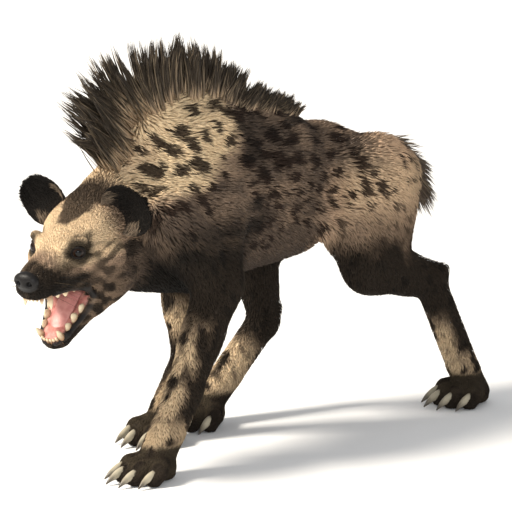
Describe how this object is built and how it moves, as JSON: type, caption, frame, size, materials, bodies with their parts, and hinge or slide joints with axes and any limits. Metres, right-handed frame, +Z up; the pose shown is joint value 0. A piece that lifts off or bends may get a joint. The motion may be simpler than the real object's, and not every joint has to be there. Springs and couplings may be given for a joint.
{
  "type": "spotted hyena",
  "caption": "Still, life-size spotted hyena in a low snarling stride, head down and turned to its left, mane raised, standing free on its four paws.",
  "frame": {"origin": "middle of the model's box, on the floor under the paws", "axes": "+Z up, -Y the way the hyena walks, +X towards its left side"},
  "size_m": [0.4116, 1.3774, 0.9715],
  "materials": {
    "coat": "coarse pinkish tan fur with dark brown spots",
    "face": "short cream fur, dark on the crown and the muzzle",
    "leg": "short fur, pale in front and blackish behind",
    "mane": "long dark brown bristles with paler roots",
    "ear": "short dark fur",
    "eye": "wet, very dark brown",
    "tongue": "moist pink",
    "claw": "pale horn with a dark tip"
  },
  "bodies": {
    "root": {"chest": "coat", "ear_left": "ear", "ear_right": "ear", "eye_left": "eye", "eye_right": "eye", "forearm_left": "leg", "forearm_right": "leg", "forepaw_left": "leg", "forepaw_left_claw_1": "claw", "forepaw_left_claw_2": "claw", "forepaw_left_claw_3": "claw", "forepaw_left_claw_4": "claw", "forepaw_right": "leg", "forepaw_right_claw_1": "claw", "forepaw_right_claw_2": "claw", "forepaw_right_claw_3": "claw", "forepaw_right_claw_4": "claw", "head": "face", "hind_paw_left": "leg", "hind_paw_left_claw_1": "claw", "hind_paw_left_claw_2": "claw", "hind_paw_left_claw_3": "claw", "hind_paw_left_claw_4": "claw", "hind_paw_right": "leg", "hind_paw_right_claw_1": "claw", "hind_paw_right_claw_2": "claw", "hind_paw_right_claw_3": "claw", "hind_paw_right_claw_4": "claw", "jaw": "face", "loin": "coat", "metatarsus_left": "coat", "metatarsus_right": "coat", "neck": "mane", "rump": "coat", "shank_left": "leg", "shank_right": "leg", "tail": "mane", "thigh_left": "coat", "thigh_right": "coat", "tongue": "tongue", "upper_arm_left": "coat", "upper_arm_right": "coat"}
  },
  "joints": []
}
